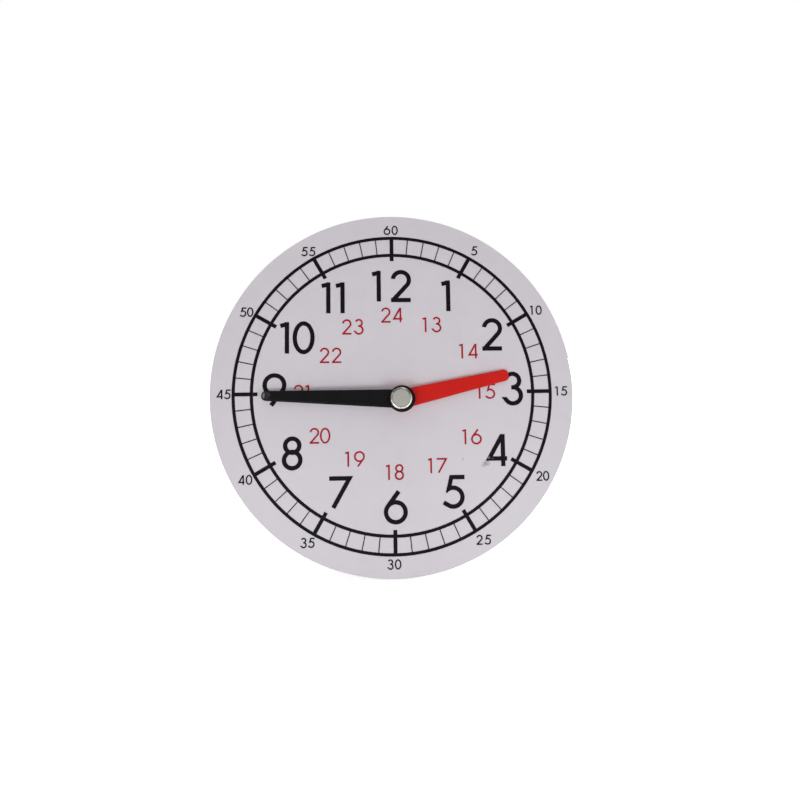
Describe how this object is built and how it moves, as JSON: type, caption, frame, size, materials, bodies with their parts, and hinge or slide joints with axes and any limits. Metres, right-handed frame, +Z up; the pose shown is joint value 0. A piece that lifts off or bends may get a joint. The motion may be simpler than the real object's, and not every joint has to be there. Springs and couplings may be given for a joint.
{
  "type": "geared teaching clock",
  "caption": "Round pupil's teaching clock with printed dial, red and black hands geared together behind the dial, and a fold-out rear strut.",
  "frame": {"origin": "on the ground, under the middle of the clock's bounding box as it stands on its strut", "axes": "+Z up, +X to the reader's right, -Y the way the dial faces; the dial leans back 15 degrees"},
  "size_m": [0.11, 0.0428, 0.1067],
  "materials": {
    "dial_plastic": "satin pale sheet plastic, faintly lilac",
    "black_ink": "printed black ink, satin",
    "red_ink": "printed muted crimson ink, satin",
    "red_plastic": "moulded, soft gloss",
    "black_plastic": "moulded, gloss",
    "rivet_steel": "plated, satin with bright bevel",
    "pin_steel": "ground pin",
    "screw_steel": "zinc plated",
    "spring_steel": "blued spring steel",
    "nylon": "natural nylon",
    "gear_acetal": "moulded, smooth, natural white",
    "gear_acetal_second": "moulded, smooth, cream",
    "case_plastic": "moulded, fine grain",
    "strut_plastic": "moulded, fine grain",
    "foot_rubber": "soft, matt"
  },
  "bodies": {
    "clock_case": {"dial_plate": "dial_plastic", "minute_track_print": "black_ink", "hour_numerals_print": "black_ink", "day_numerals_print": "red_ink", "minute_numerals_print": "black_ink", "hour_hand_washer": "nylon", "centre_rivet": "rivet_steel", "intermediate_stud": "pin_steel", "stud_washer": "nylon", "rear_cover": "case_plastic", "cover_screws": "screw_steel", "spring_washer": "spring_steel", "rear_washer": "screw_steel", "strut_pin": "pin_steel"},
    "minute_work": {"minute_hand": "black_plastic", "minute_pinion": "gear_acetal"},
    "hour_work": {"hour_hand": "red_plastic", "hour_wheel": "gear_acetal"},
    "intermediate": {"intermediate_gear": "gear_acetal_second"},
    "strut": {"stand_strut": "strut_plastic", "strut_foot_pad": "foot_rubber"}
  },
  "joints": [
    {"name": "minute_spin", "type": "hinge", "parent": "clock_case", "child": "minute_work", "pos_m": [0.00235, -0.00774, 0.05166], "axis": [0, -0.9659, 0.2588], "continuous": true},
    {"name": "intermediate_spin", "type": "hinge", "parent": "clock_case", "child": "intermediate", "pos_m": [0.00235, -0.01188, 0.03621], "axis": [0, -0.9659, 0.2588], "continuous": true},
    {"name": "hour_spin", "type": "hinge", "parent": "clock_case", "child": "hour_work", "pos_m": [0.00235, -0.00774, 0.05166], "axis": [0, -0.9659, 0.2588], "continuous": true},
    {"name": "strut_fold", "type": "hinge", "parent": "clock_case", "child": "strut", "pos_m": [0, 0.00692, 0.05809], "axis": [1, 0, 0], "range_deg": [-27, 0]}
  ],
  "couplings": [
    {"joint": "intermediate_spin", "follows": "minute_spin", "ratio": -0.33333},
    {"joint": "hour_spin", "follows": "minute_spin", "ratio": 0.083333}
  ]
}
